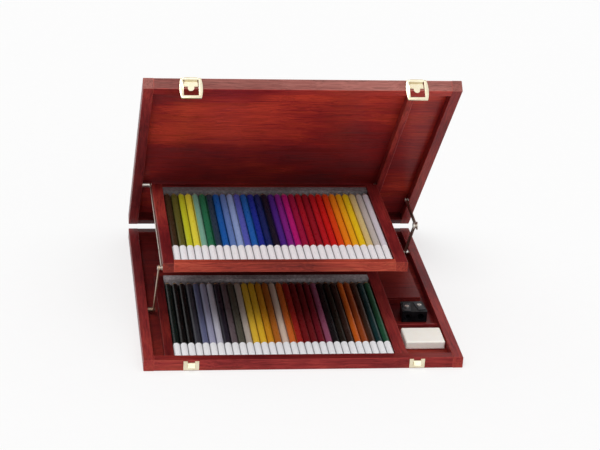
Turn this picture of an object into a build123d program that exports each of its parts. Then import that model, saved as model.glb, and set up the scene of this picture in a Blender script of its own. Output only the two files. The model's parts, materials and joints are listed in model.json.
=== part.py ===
from build123d import *
import os
from math import cos, radians, sin

# Two-tier wooden pencil case: a shallow base, a hinged lid of the same outline, and a pencil tray
# that hangs between them on a linkage, so that it rises level as the lid opens.
# Frame: X to the right, Y to the back, Z up; origin under the middle of the base.
# Every size below is given for the shut case. Each moving group has a plane of its own, which
# carries shut-case coordinates to where that group stands with the lid open.

# ---- case ----
# The outer width and height follow from what the case holds; the depth is set here.
case_depth = 313.0
rail_thickness = 10.5
bottom_thickness = 2.6
lid_panel_thickness = 2.8
panel_rebate = 4.0
edge_round = 0.6
base_rim_rise = 2.0
lid_head_room = 0.8
left_channel = 11.4

# ---- main hinge and opening angle ----
hinge_offset = 6.0
lid_open_angle = 50.0
hinge_width = 38.0
hinge_spacing = 190.0
hinge_leaf_thickness = 1.0
hinge_leaf_height = 8.0
hinge_pin_radius = 1.2
hinge_button_radius = 1.8
hinge_button_height = 0.6
hinge_barrel_radius = 2.6
hinge_screw_spacing = 26.0
running_gap = 0.05
side_gap = 0.2

# ---- pencils ----
pencil_count = 30
pencil_radius = 3.7
pencil_length = 174.0
pencil_cone = 10.0
pencil_tip_radius = 0.5
core_radius = 2.2
pencil_gap = 0.08
pencil_end_gap = 0.5
pencil_side_gap = 0.4

# ---- tray ----
tray_left_rim = 11.3
tray_right_rim = 12.5
tray_front_rim = 8.7
tray_rear_rim = 6.0
tray_rim_rise = 0.7
tray_floor_thickness = 2.2
tray_lift_gap = 0.4
tray_front_gap = 0.8
foam_depth = 9.5
foam_rise = 0.2
foam_gap = 0.3

# ---- base fittings; a setback is measured from the inner face of the front rail ----
divider_width = 9.5
divider_gap = 0.4
stop_rail_depth = 8.0
deck_setback = 129.0
deck_thickness = 2.6
deck_channel = 7.9
bearer_width = 6.0
low_divider_thickness = 3.0
low_divider_height = 3.2
low_divider_setback = 74.0

# ---- eraser and sharpener ----
eraser_width = 41.0
eraser_depth = 32.0
eraser_height = 9.2
eraser_side_gap = 2.18
eraser_free_gap = 1.3
eraser_setback = 23.8
eraser_round = 1.8
sharpener_front_width = 27.5
sharpener_rear_width = 23.5
sharpener_depth = 24.0
sharpener_height = 13.0
sharpener_side_gap = 8.5
sharpener_setback = 85.0
sharpener_round = 1.6
sharpener_big_hole = 3.6
sharpener_small_hole = 2.9
sharpener_hole_end = 0.9
sharpener_hole_depth = 21.0
blade_length = 19.0
blade_width = 8.0
blade_thickness = 0.6
blade_screw_radius = 2.3
blade_screw_height = 1.1
blade_shank_radius = 1.1
small_blade_angle = 82.0
small_blade_reach = 0.44
big_blade_angle = 98.0
big_blade_reach = 0.56

# ---- linkage ----
tray_pivot_setback = 10.2
pivot_rise = 3.5
link_base_setback = 107.0
link_base_drop = 3.5
strip_thickness = 1.2
arm_width = 5.0
link_width = 6.0
pin_radius = 1.5
pin_head_radius = 2.3
pin_head_height = 1.0
head_gap = 0.1
spacer_radius = 2.6
link_gap = 1.6
open_pivot_gap = 0.15
post_depth = 6.0
arm_rivet_lead = 40.0
arm_rivet_inset = 14.0
right_arm_rivet_inset = 60.0
right_arm_reach = 66.0
batten_gap = 1.6
batten_width = 6.5
batten_foot_gap = 0.6
batten_hole_floor = 1.0

# ---- lid stay ----
stay_reach = 62.5
stay_base_drop = 4.0
stay_width = 6.0
stay_lug_radius = 4.5
stay_rivet_radius = 2.0
stay_head_radius = 4.0
stay_head_height = 0.9
stay_gap = 0.4
stay_wall_gap = 1.7

# ---- latches ----
latch_x = 114.5
bracket_width = 14.0
bracket_top_gap = 0.1
bracket_foot_rise = 2.4
bracket_nail_rise = 2.0
bracket_thickness = 0.8
bracket_barrel_length = 13.2
bracket_barrel_radius = 1.9
tongue_width = 6.5
tongue_length = 4.8
loop_bar_radius = 1.0
loop_thickness = 1.6
loop_width = 23.2
loop_end_width = 20.2
loop_foot_z = 0.4
loop_foot_width = 3.0
loop_window_width = 15.2
strike_width = 15.6
strike_edge_gap = 1.0
strike_nail_drop = 2.2
notch_gap = 0.4
hook_width = 7.0
hook_reach = 2.5
hook_thickness = 0.8
hook_ramp = 3.8
hook_gap = 0.4
nail_radius = 0.7
nail_head_radius = 1.3
nail_head_height = 0.35
nail_length = 5.0
nail_spacing = 10.6
screw_head_radius = 2.2
screw_shank_radius = 1.1
screw_length = 7.5
screw_head_height = 1.0
screw_slot = 0.5
hole_slack = 0.02

# ---- worked out from the sizes above ----
pencil_pitch = 2 * pencil_radius + pencil_gap
row_width = (pencil_count - 1) * pencil_pitch + 2 * (pencil_radius + pencil_side_gap)
bay_width = eraser_side_gap + eraser_width + eraser_free_gap
inner_width = left_channel + divider_width + row_width + tray_right_rim + bay_width
inner_x = inner_width / 2
side_x = inner_x + rail_thickness
face_y = case_depth / 2
inner_y = face_y - rail_thickness
row_left = -inner_x + left_channel + divider_width
row_right = row_left + row_width
first_pencil_x = row_left + pencil_side_gap + pencil_radius
lower_axis_z = bottom_thickness + pencil_radius
lower_tip_y = -inner_y + pencil_end_gap + pencil_length

fitting_top = bottom_thickness + 2 * pencil_radius
tray_bottom = fitting_top + tray_lift_gap
tray_top = tray_bottom + tray_floor_thickness + 2 * pencil_radius + tray_rim_rise
base_height = fitting_top + base_rim_rise
lid_ceiling = tray_top + lid_head_room
lid_top = lid_ceiling + lid_panel_thickness
hinge_y = face_y + hinge_offset
hinge_z = base_height
foam_height = 2 * pencil_radius + foam_rise
tray_left = row_left - tray_left_rim
tray_right = row_right + tray_right_rim
tray_front = -inner_y + tray_front_gap
tray_inner_front = tray_front + tray_front_rim
upper_tip_y = tray_inner_front + pencil_length
upper_axis_z = tray_bottom + tray_floor_thickness + pencil_radius
tray_inner_rear = upper_tip_y + foam_gap + foam_depth
tray_rear = tray_inner_rear + tray_rear_rim

rear_pivot_y = tray_rear + tray_pivot_setback
rear_pivot_z = hinge_z + pivot_rise
tray_pivot_reach = hinge_y - rear_pivot_y
link_base_y = -inner_y + link_base_setback
link_base_z = base_height - link_base_drop
front_pivot_y = link_base_y - tray_pivot_reach
front_pivot_z = link_base_z + pivot_rise
arm_outer_x = tray_left - strip_thickness
link_inner_x = arm_outer_x - link_gap
link_outer_x = link_inner_x - strip_thickness
batten_left = tray_right + batten_gap

stay_base_y = hinge_y - stay_reach
stay_base_z = base_height - stay_base_drop
stay_lid_z = hinge_z + pivot_rise
elbow_y = stay_base_y - stay_reach
elbow_z = stay_base_z + pivot_rise
upper_arm_outer_x = inner_x - stay_wall_gap
upper_arm_inner_x = upper_arm_outer_x - strip_thickness
lower_arm_outer_x = upper_arm_inner_x - stay_gap
lower_arm_inner_x = lower_arm_outer_x - strip_thickness


# ---- planes ----
def swung(pivot_y, pivot_z):
    """Shut-case coordinates turned about a line along X by the lid's opening angle."""
    turn = radians(lid_open_angle)
    back = pivot_y - pivot_y * cos(turn) - pivot_z * sin(turn)
    up = pivot_z + pivot_y * sin(turn) - pivot_z * cos(turn)
    return Plane(origin=(0, back, up), x_dir=(1, 0, 0), z_dir=(0, sin(turn), cos(turn)))


def carried(y, z):
    """Shut-case coordinates shifted, without turning, by what a lid point at y, z travels."""
    shut = Vector(0, y, z)
    return Plane(origin=lid_frame.from_local_coords(shut) - shut)


def facing_right(frame, x):
    """Sketch plane at x whose own axes are the frame's Y and Z, and whose normal is +X."""
    return Plane(origin=frame.from_local_coords((x, 0, 0)), x_dir=frame.y_dir, z_dir=frame.x_dir)


def facing_front(frame, y):
    """Sketch plane at y whose own axes are the frame's X and Z, and whose normal is -Y."""
    return Plane(origin=frame.from_local_coords((0, y, 0)), x_dir=frame.x_dir, z_dir=-frame.y_dir)


def into(frame, point, direction):
    """Plane at a point of the frame, with its normal along one of the frame's directions."""
    aim = frame.from_local_coords(direction) - frame.origin
    return Plane(origin=frame.from_local_coords(point), z_dir=aim)


base_frame = Plane.XY
lid_frame = swung(hinge_y, hinge_z)
tray_frame = carried(rear_pivot_y, rear_pivot_z)
link_frame = swung(link_base_y, link_base_z)
lower_stay_frame = swung(stay_base_y, stay_base_z)
upper_stay_frame = carried(stay_base_y, stay_lid_z)


# ---- shared shapes ----
os.makedirs("parts", exist_ok=True)


def save(builder, label):
    """Name a finished piece and write it out."""
    builder.part.label = label
    export_step(builder.part, f"parts/{label}.step")


def board(frame, x_span, y_span, z_span, rounded=None, rebate=None, holes=()):
    """Straight piece of wood; rounded is the axis its softened edges run along."""
    length_x = x_span[1] - x_span[0]
    length_y = y_span[1] - y_span[0]
    centre = (sum(x_span) / 2, sum(y_span) / 2)
    with BuildPart() as piece:
        with BuildSketch(frame.offset(z_span[0])):
            with Locations(centre):
                Rectangle(length_x, length_y)
        extrude(amount=z_span[1] - z_span[0])
        if rounded is not None:
            fillet(piece.edges().filter_by(rounded), edge_round)
        if rebate is not None:
            rebate_x, rebate_y, rebate_z = rebate
            with BuildSketch(frame.offset(rebate_z[0])):
                Rectangle(2 * rebate_x, 2 * rebate_y)
            extrude(amount=rebate_z[1] - rebate_z[0], mode=Mode.SUBTRACT)
        for place, radius, depth in holes:
            with BuildSketch(place):
                Circle(radius)
            extrude(amount=depth, mode=Mode.SUBTRACT)
    return piece


def wood_screws(places):
    """Slotted countersunk screws; each place is a plane on the head's face, normal into the wood."""
    with BuildPart() as screws:
        for place in places:
            with BuildSketch(place):
                Circle(screw_head_radius)
            with BuildSketch(place.offset(screw_head_height)):
                Circle(screw_shank_radius)
            loft()
            with BuildSketch(place.offset(screw_head_height)):
                Circle(screw_shank_radius)
            extrude(amount=screw_length - screw_head_height)
            with BuildSketch(place):
                Rectangle(2 * screw_head_radius, screw_slot)
            extrude(amount=screw_slot, mode=Mode.SUBTRACT)
    return screws


def nails(places):
    """Small round-headed nails; each place is a plane on the plate, normal into the wood."""
    with BuildPart() as group:
        for place in places:
            with BuildSketch(place.offset(-nail_head_height)):
                Circle(nail_head_radius)
            extrude(amount=nail_head_height)
            with BuildSketch(place):
                Circle(nail_radius)
            extrude(amount=nail_length)
    return group


def headed_pins(pins):
    """Pins along X. Each is a plane at the outer end, with (radius, length) steps along its normal."""
    with BuildPart() as group:
        for place, steps in pins:
            start = place
            for radius, length in steps:
                with BuildSketch(start):
                    Circle(radius)
                extrude(amount=length)
                start = start.offset(length)
    return group


def strip(frame, x, width, ends, lug_radius, holes):
    """Flat metal strip at x between two points, with round lugs and drilled holes."""
    plane = facing_right(frame, x)
    with BuildPart() as piece:
        with BuildSketch(plane):
            with BuildLine():
                Line(ends[0], ends[1])
            trace(line_width=width)
            with Locations(*ends):
                Circle(lug_radius)
            for spot, radius in holes:
                with Locations(spot):
                    Circle(radius, mode=Mode.SUBTRACT)
        extrude(amount=strip_thickness)
    return piece


def hinge_leaf(frame, up, knuckle_count, knuckle_start):
    """One pair of leaves; up is 1 for the leaf above the hinge line and -1 for the one below."""
    knuckle = hinge_width / 3
    plate_near = hinge_z + up * (hinge_barrel_radius - hinge_leaf_thickness)
    plate_far = plate_near + up * hinge_leaf_height
    web_far = hinge_z + up * hinge_barrel_radius
    low, high = sorted((plate_near, plate_far))
    web_low, web_high = sorted((plate_near, web_far))
    with BuildPart() as leaves:
        for middle in (-hinge_spacing / 2, hinge_spacing / 2):
            left = middle - hinge_width / 2
            with BuildSketch(facing_right(frame, left)):
                with Locations((face_y + hinge_leaf_thickness / 2, (low + high) / 2)):
                    Rectangle(hinge_leaf_thickness, high - low)
            extrude(amount=hinge_width)
            for index in range(knuckle_count):
                start = left + (knuckle_start + 2 * index) * knuckle + side_gap / 2
                with BuildSketch(facing_right(frame, start)):
                    with Locations(((face_y + hinge_y) / 2, (web_low + web_high) / 2)):
                        Rectangle(hinge_offset, web_high - web_low)
                    with Locations((hinge_y, hinge_z)):
                        Circle(hinge_barrel_radius)
                        Circle(hinge_pin_radius + running_gap, mode=Mode.SUBTRACT)
                extrude(amount=knuckle - side_gap)
            for offset in (-hinge_screw_spacing / 2, hinge_screw_spacing / 2):
                mouth = into(
                    frame,
                    (middle + offset, face_y + hinge_leaf_thickness, (low + high) / 2),
                    (0, -1, 0),
                )
                with BuildSketch(mouth):
                    Circle(screw_head_radius + hole_slack)
                with BuildSketch(mouth.offset(hinge_leaf_thickness)):
                    Circle(screw_shank_radius + hole_slack)
                loft(mode=Mode.SUBTRACT)
    return leaves


def hinge_screw_places(frame, up):
    """Planes of the screws that hold one leaf of each hinge to the rear face."""
    near = hinge_z + up * (hinge_barrel_radius - hinge_leaf_thickness)
    height = near + up * hinge_leaf_height / 2
    places = []
    for middle in (-hinge_spacing / 2, hinge_spacing / 2):
        for offset in (-hinge_screw_spacing / 2, hinge_screw_spacing / 2):
            spot = (middle + offset, face_y + hinge_leaf_thickness, height)
            places.append(into(frame, spot, (0, -1, 0)))
    return places


def pencil_row(frame, tip_y, axis_z):
    """Barrels and cores of one row, tips to the back."""
    slope = (pencil_radius - pencil_tip_radius) / pencil_cone
    core_shoulder = -(core_radius - pencil_tip_radius) / slope
    with BuildPart() as barrel:
        with BuildSketch():
            with BuildLine():
                Polyline(
                    (core_radius, -pencil_length),
                    (pencil_radius, -pencil_length),
                    (pencil_radius, -pencil_cone),
                    (core_radius, core_shoulder),
                    close=True,
                )
            make_face()
        revolve(axis=Axis.Y)
    with BuildPart() as core:
        with BuildSketch():
            with BuildLine():
                Polyline(
                    (0, -pencil_length),
                    (core_radius, -pencil_length),
                    (core_radius, core_shoulder),
                    (pencil_tip_radius, 0),
                    (0, 0),
                    close=True,
                )
            make_face()
        revolve(axis=Axis.Y)
    tips = []
    for index in range(pencil_count):
        spot = (first_pencil_x + index * pencil_pitch, tip_y, axis_z)
        tips.append(frame.from_local_coords(spot))
    with BuildPart() as barrels:
        with Locations(*tips):
            add(barrel.part)
    with BuildPart() as cores:
        with Locations(*tips):
            add(core.part)
    return barrels, cores


# ---- pivot places, shared by the holes and by the pins that fill them ----
link_post_mouth = into(base_frame, (-inner_x, link_base_y, link_base_z), (-1, 0, 0))
stay_base_mouth = into(base_frame, (inner_x, stay_base_y, stay_base_z), (1, 0, 0))
stay_lid_mouth = into(lid_frame, (inner_x, stay_base_y, stay_lid_z), (1, 0, 0))
tray_post_mouth = into(lid_frame, (-inner_x, rear_pivot_y, rear_pivot_z), (-1, 0, 0))
batten_mouth = into(lid_frame, (batten_left, rear_pivot_y, rear_pivot_z), (1, 0, 0))
front_pin_mouth = into(tray_frame, (tray_left, front_pivot_y, front_pivot_z), (1, 0, 0))
pin_hole = pin_radius + hole_slack

strike_foot = strike_edge_gap
strike_top = base_height - strike_edge_gap
strike_nail_z = strike_top - strike_nail_drop
bracket_top = lid_top - bracket_top_gap
bracket_foot = base_height + bracket_foot_rise
bracket_nail_z = bracket_foot + bracket_nail_rise
strike_nails = []
bracket_nails = []
for middle in (-latch_x, latch_x):
    for offset in (-nail_spacing / 2, nail_spacing / 2):
        plate_y = -face_y - bracket_thickness
        strike_nails.append(into(base_frame, (middle + offset, plate_y, strike_nail_z), (0, 1, 0)))
        bracket_nails.append(into(lid_frame, (middle + offset, plate_y, bracket_nail_z), (0, 1, 0)))


def nail_holes(places):
    """Holes in a front rail for the nails of the plates on it."""
    return [(place.offset(bracket_thickness), nail_radius + hole_slack, nail_length) for place in places]


def screw_holes(places):
    """Holes in a rear rail for the hinge screws."""
    depth = screw_length - screw_head_height
    radius = screw_shank_radius + hole_slack
    return [(place.offset(hinge_leaf_thickness), radius, depth) for place in places]


# ---- base: four rails round a bottom panel ----
base_rebate = (inner_x + panel_rebate, inner_y + panel_rebate, (0, bottom_thickness))
base_z = (0, base_height)
base_left_rail = board(
    base_frame, (-side_x, -inner_x), (-face_y, face_y), base_z, Axis.Y, base_rebate,
    [(link_post_mouth, pin_hole, post_depth)],
)
save(base_left_rail, "base_left_rail")
base_right_rail = board(
    base_frame, (inner_x, side_x), (-face_y, face_y), base_z, Axis.Y, base_rebate,
    [(stay_base_mouth, pin_hole, post_depth)],
)
save(base_right_rail, "base_right_rail")
base_front_rail = board(
    base_frame, (-inner_x, inner_x), (-face_y, -inner_y), base_z, Axis.X, base_rebate,
    nail_holes(strike_nails),
)
save(base_front_rail, "base_front_rail")
base_rear_rail = board(
    base_frame, (-inner_x, inner_x), (inner_y, face_y), base_z, Axis.X, base_rebate,
    screw_holes(hinge_screw_places(base_frame, -1)),
)
save(base_rear_rail, "base_rear_rail")
base_bottom_panel = board(
    base_frame,
    (-inner_x - panel_rebate, inner_x + panel_rebate),
    (-inner_y - panel_rebate, inner_y + panel_rebate),
    (0, bottom_thickness),
)
save(base_bottom_panel, "base_bottom_panel")

# ---- base: wood that holds the lower row and the accessories ----
fitting_z = (bottom_thickness, fitting_top)
stop_front = lower_tip_y + foam_gap + foam_depth
left_divider = board(
    base_frame, (row_left - divider_width, row_left), (-inner_y, stop_front), fitting_z, Axis.Y
)
save(left_divider, "left_divider")
pencil_partition = board(
    base_frame, (row_right, tray_right), (-inner_y, inner_y), fitting_z, Axis.Y
)
save(pencil_partition, "pencil_partition")
pencil_stop_rail = board(
    base_frame,
    (row_left - divider_width, row_right - divider_gap),
    (stop_front, stop_front + stop_rail_depth),
    fitting_z,
    Axis.X,
)
save(pencil_stop_rail, "pencil_stop_rail")
lower_foam = board(
    base_frame,
    (row_left + divider_gap, row_right - divider_gap),
    (lower_tip_y + foam_gap, stop_front),
    (bottom_thickness, bottom_thickness + foam_height),
)
save(lower_foam, "lower_foam")

deck_front_y = -inner_y + deck_setback
deck_right = inner_x - deck_channel
deck_z = (fitting_top - deck_thickness, fitting_top)
rear_deck = board(base_frame, (tray_right, deck_right), (deck_front_y, inner_y), deck_z, Axis.X)
save(rear_deck, "rear_deck")
with BuildPart() as rear_deck_bearers:
    with BuildSketch(base_frame.offset(bottom_thickness)):
        with Locations(((tray_right + deck_right) / 2, deck_front_y + bearer_width / 2)):
            Rectangle(deck_right - tray_right, bearer_width)
        with Locations(
            (deck_right - bearer_width / 2, (deck_front_y + 2 * bearer_width + inner_y) / 2)
        ):
            Rectangle(bearer_width, inner_y - deck_front_y - 2 * bearer_width)
    extrude(amount=deck_z[0] - bottom_thickness)
save(rear_deck_bearers, "rear_deck_bearers")
low_divider_y = -inner_y + low_divider_setback
accessory_divider = board(
    base_frame,
    (tray_right, inner_x),
    (low_divider_y, low_divider_y + low_divider_thickness),
    (bottom_thickness, bottom_thickness + low_divider_height),
    Axis.X,
)
save(accessory_divider, "accessory_divider")

# ---- eraser ----
eraser_mid_x = tray_right + eraser_side_gap + eraser_width / 2
eraser_mid_y = -inner_y + eraser_setback + eraser_depth / 2
with BuildPart() as eraser:
    with BuildSketch(base_frame.offset(bottom_thickness)):
        with Locations((eraser_mid_x, eraser_mid_y)):
            Rectangle(eraser_width, eraser_depth)
    extrude(amount=eraser_height)
    fillet(eraser.edges(), eraser_round)
save(eraser, "eraser")

# ---- two-hole sharpener: wedge body, blades, screws ----
sharpener_front_y = -inner_y + sharpener_setback
sharpener_rear_y = sharpener_front_y + sharpener_depth
sharpener_mid_x = tray_right + sharpener_side_gap + sharpener_front_width / 2
sharpener_top = bottom_thickness + sharpener_height - blade_thickness
hole_z = bottom_thickness + (sharpener_height - blade_thickness) / 2
hole_shift = sharpener_front_width / 4
hole_pairs = ((-hole_shift, sharpener_small_hole), (hole_shift, sharpener_big_hole))
blade_places = []
for side, angle, reach in (
    (-1, small_blade_angle, small_blade_reach),
    (1, big_blade_angle, big_blade_reach),
):
    spot = (sharpener_mid_x + side * hole_shift, sharpener_front_y + reach * sharpener_depth)
    blade_places.append(Location((*spot, sharpener_top), (0, 0, angle)))
with BuildPart() as sharpener_body:
    with BuildSketch(base_frame.offset(bottom_thickness)):
        with BuildLine():
            Polyline(
                (sharpener_mid_x - sharpener_front_width / 2, sharpener_front_y),
                (sharpener_mid_x + sharpener_front_width / 2, sharpener_front_y),
                (sharpener_mid_x + sharpener_rear_width / 2, sharpener_rear_y),
                (sharpener_mid_x - sharpener_rear_width / 2, sharpener_rear_y),
                close=True,
            )
        make_face()
    extrude(amount=sharpener_height - blade_thickness)
    fillet(sharpener_body.edges().filter_by(Axis.Z), sharpener_round)
    for shift, radius in hole_pairs:
        mouth = into(base_frame, (sharpener_mid_x + shift, sharpener_front_y, hole_z), (0, 1, 0))
        with BuildSketch(mouth):
            Circle(radius)
        with BuildSketch(mouth.offset(sharpener_hole_depth)):
            Circle(sharpener_hole_end)
        loft(mode=Mode.SUBTRACT)
    with BuildSketch(*[Plane(place) for place in blade_places]):
        Circle(blade_shank_radius + hole_slack)
    extrude(amount=-blade_screw_height - 1, mode=Mode.SUBTRACT)
save(sharpener_body, "sharpener_body")
with BuildPart() as sharpener_blades:
    with BuildSketch(*[Plane(place) for place in blade_places]):
        Rectangle(blade_length, blade_width)
        Circle(blade_shank_radius + hole_slack, mode=Mode.SUBTRACT)
    extrude(amount=blade_thickness)
save(sharpener_blades, "sharpener_blades")
with BuildPart() as sharpener_screws:
    with BuildSketch(*[Plane(place).offset(blade_thickness) for place in blade_places]):
        Circle(blade_screw_radius)
    extrude(amount=blade_screw_height)
    with BuildSketch(*[Plane(place).offset(blade_thickness) for place in blade_places]):
        Circle(blade_shank_radius)
    extrude(amount=-blade_thickness - blade_screw_height)
    with BuildSketch(
        *[Plane(place).offset(blade_thickness + blade_screw_height) for place in blade_places]
    ):
        Rectangle(2 * blade_screw_radius, screw_slot)
    extrude(amount=-screw_slot, mode=Mode.SUBTRACT)
save(sharpener_screws, "sharpener_screws")

# ---- pencils ----
lower_pencils, lower_pencil_cores = pencil_row(base_frame, lower_tip_y, lower_axis_z)
save(lower_pencils, "lower_pencils")
save(lower_pencil_cores, "lower_pencil_cores")
upper_pencils, upper_pencil_cores = pencil_row(tray_frame, upper_tip_y, upper_axis_z)
save(upper_pencils, "upper_pencils")
save(upper_pencil_cores, "upper_pencil_cores")

# ---- lid: four rails round a panel, and a batten beside the tray ----
lid_rebate = (inner_x + panel_rebate, inner_y + panel_rebate, (lid_ceiling, lid_top))
lid_z = (base_height, lid_top)
lid_left_rail = board(
    lid_frame, (-side_x, -inner_x), (-face_y, face_y), lid_z, Axis(lid_frame.origin, lid_frame.y_dir),
    lid_rebate, [(tray_post_mouth, pin_hole, post_depth)],
)
save(lid_left_rail, "lid_left_rail")
lid_right_rail = board(
    lid_frame, (inner_x, side_x), (-face_y, face_y), lid_z, Axis(lid_frame.origin, lid_frame.y_dir),
    lid_rebate, [(stay_lid_mouth, pin_hole, post_depth)],
)
save(lid_right_rail, "lid_right_rail")
lid_front_rail = board(
    lid_frame, (-inner_x, inner_x), (-face_y, -inner_y), lid_z, Axis.X, lid_rebate,
    nail_holes(bracket_nails),
)
save(lid_front_rail, "lid_front_rail")
lid_rear_rail = board(
    lid_frame, (-inner_x, inner_x), (inner_y, face_y), lid_z, Axis.X, lid_rebate,
    screw_holes(hinge_screw_places(lid_frame, 1)),
)
save(lid_rear_rail, "lid_rear_rail")
lid_panel = board(
    lid_frame,
    (-inner_x - panel_rebate, inner_x + panel_rebate),
    (-inner_y - panel_rebate, inner_y + panel_rebate),
    (lid_ceiling, lid_top),
)
save(lid_panel, "lid_panel")
lid_batten = board(
    lid_frame,
    (batten_left, batten_left + batten_width),
    (-inner_y, inner_y),
    (base_height + batten_foot_gap, lid_ceiling),
    Axis(lid_frame.origin, lid_frame.y_dir),
    None,
    [(batten_mouth, pin_hole, batten_width - batten_hole_floor)],
)
save(lid_batten, "lid_batten")

# ---- tray: four rails round a floor, foam at the tips ----
tray_z = (tray_bottom, tray_top)
floor_z = (tray_bottom, tray_bottom + tray_floor_thickness)
tray_left_rail = board(
    tray_frame, (tray_left, row_left), (tray_front, tray_rear), tray_z, Axis.Y, None,
    [(front_pin_mouth, pin_hole, post_depth)],
)
save(tray_left_rail, "tray_left_rail")
tray_right_rail = board(
    tray_frame, (row_right, tray_right), (tray_front, tray_rear), tray_z, Axis.Y
)
save(tray_right_rail, "tray_right_rail")
tray_front_rail = board(
    tray_frame, (row_left, row_right), (tray_front, tray_inner_front), tray_z, Axis.X
)
save(tray_front_rail, "tray_front_rail")
tray_rear_rail = board(
    tray_frame, (row_left, row_right), (tray_inner_rear, tray_rear), tray_z, Axis.X
)
save(tray_rear_rail, "tray_rear_rail")
tray_floor = board(
    tray_frame, (row_left, row_right), (tray_inner_front, tray_inner_rear), floor_z
)
save(tray_floor, "tray_floor")
tray_foam = board(
    tray_frame,
    (row_left + divider_gap, row_right - divider_gap),
    (upper_tip_y + foam_gap, tray_inner_rear),
    (floor_z[1], floor_z[1] + foam_height - edge_round),
)
save(tray_foam, "tray_foam")

# ---- main hinges ----
base_hinge_leaves = hinge_leaf(base_frame, -1, 2, 0)
save(base_hinge_leaves, "base_hinge_leaves")
lid_hinge_leaves = hinge_leaf(lid_frame, 1, 1, 1)
save(lid_hinge_leaves, "lid_hinge_leaves")
base_hinge_screws = wood_screws(hinge_screw_places(base_frame, -1))
save(base_hinge_screws, "base_hinge_screws")
lid_hinge_screws = wood_screws(hinge_screw_places(lid_frame, 1))
save(lid_hinge_screws, "lid_hinge_screws")
pin_run = hinge_width + 2 * side_gap
pin_places = []
for middle in (-hinge_spacing / 2, hinge_spacing / 2):
    start = middle - pin_run / 2 - hinge_button_height
    steps = (
        (hinge_button_radius, hinge_button_height),
        (hinge_pin_radius, pin_run),
        (hinge_button_radius, hinge_button_height),
    )
    pin_places.append((into(base_frame, (start, hinge_y, hinge_z), (1, 0, 0)), steps))
hinge_pins = headed_pins(pin_places)
save(hinge_pins, "hinge_pins")

# ---- tray linkage: an arm each side of the tray, one front link on the left ----
rear_spot = (rear_pivot_y, rear_pivot_z)
front_spot = (front_pivot_y, front_pivot_z)
arm_slope = (rear_pivot_z - front_pivot_z) / (rear_pivot_y - front_pivot_y)


def arm_spot(y):
    """Point on the line between the tray's two pivots."""
    return (y, front_pivot_z + arm_slope * (y - front_pivot_y))


last_rivet_spot = arm_spot(tray_inner_rear - arm_rivet_inset)
left_rivet_spots = (arm_spot(front_pivot_y + arm_rivet_lead), last_rivet_spot)
right_rivet_spots = (arm_spot(tray_inner_rear - right_arm_rivet_inset), last_rivet_spot)
right_arm_end = arm_spot(tray_inner_rear - right_arm_reach)
tray_left_arm = strip(
    tray_frame, arm_outer_x, arm_width, (front_spot, rear_spot), arm_width / 2,
    [(front_spot, pin_hole), (rear_spot, pin_radius + running_gap)],
)
save(tray_left_arm, "tray_left_arm")
tray_right_arm = strip(
    tray_frame, tray_right, arm_width, (right_arm_end, rear_spot), arm_width / 2,
    [(rear_spot, pin_radius + running_gap)],
)
save(tray_right_arm, "tray_right_arm")
with BuildPart() as tray_arm_rivets:
    for x, spots, aim in (
        (arm_outer_x, left_rivet_spots, -1),
        (tray_right + strip_thickness, right_rivet_spots, 1),
    ):
        for y, z in spots:
            with BuildSketch(into(tray_frame, (x, y, z), (aim, 0, 0))):
                Circle(nail_head_radius)
            extrude(amount=nail_head_height)
save(tray_arm_rivets, "tray_arm_rivets")

tray_front_pin = headed_pins([
    (
        into(tray_frame, (link_outer_x - head_gap - pin_head_height, *front_spot), (1, 0, 0)),
        (
            (pin_head_radius, pin_head_height),
            (pin_radius, tray_left + post_depth - link_outer_x + head_gap),
        ),
    )
])
save(tray_front_pin, "tray_front_pin")
front_link = strip(
    link_frame, link_outer_x, link_width, ((link_base_y, link_base_z), front_spot), link_width / 2,
    [((link_base_y, link_base_z), pin_radius + running_gap), (front_spot, pin_radius + open_pivot_gap)],
)
save(front_link, "front_link")
link_base_post = headed_pins([
    (
        into(base_frame, (-inner_x - post_depth, link_base_y, link_base_z), (1, 0, 0)),
        (
            (pin_radius, post_depth),
            (spacer_radius, link_outer_x - head_gap + inner_x),
            (pin_radius, strip_thickness + 2 * head_gap),
            (pin_head_radius, pin_head_height),
        ),
    )
])
save(link_base_post, "link_base_post")
tray_pivot_posts = headed_pins([
    (
        into(lid_frame, (-inner_x - post_depth, *rear_spot), (1, 0, 0)),
        (
            (pin_radius, post_depth),
            (spacer_radius, arm_outer_x - head_gap + inner_x),
            (pin_radius, strip_thickness + 2 * head_gap),
            (pin_head_radius, pin_head_height),
        ),
    ),
    (
        into(lid_frame, (batten_left + batten_width - batten_hole_floor, *rear_spot), (-1, 0, 0)),
        (
            (pin_radius, batten_width - batten_hole_floor + batten_gap + head_gap),
            (pin_head_radius, pin_head_height),
        ),
    ),
])
save(tray_pivot_posts, "tray_pivot_posts")

# ---- lid stay on the right ----
stay_base_spot = (stay_base_y, stay_base_z)
stay_lid_spot = (stay_base_y, stay_lid_z)
elbow_spot = (elbow_y, elbow_z)
stay_lower_arm = strip(
    lower_stay_frame, lower_arm_inner_x, stay_width, (stay_base_spot, elbow_spot), stay_width / 2,
    [(stay_base_spot, pin_radius + running_gap), (elbow_spot, stay_rivet_radius + hole_slack)],
)
save(stay_lower_arm, "stay_lower_arm")
stay_upper_arm = strip(
    upper_stay_frame, upper_arm_inner_x, stay_width, (stay_lid_spot, elbow_spot), stay_width / 2,
    [(stay_lid_spot, pin_radius + running_gap), (elbow_spot, stay_rivet_radius + open_pivot_gap)],
)
save(stay_upper_arm, "stay_upper_arm")
stay_elbow_rivet = headed_pins([
    (
        into(lower_stay_frame, (lower_arm_inner_x - stay_head_height, *elbow_spot), (1, 0, 0)),
        (
            (stay_head_radius, stay_head_height),
            (stay_rivet_radius, 2 * strip_thickness + stay_gap + head_gap),
            (stay_lug_radius, stay_head_height),
        ),
    )
])
save(stay_elbow_rivet, "stay_elbow_rivet")
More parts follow.
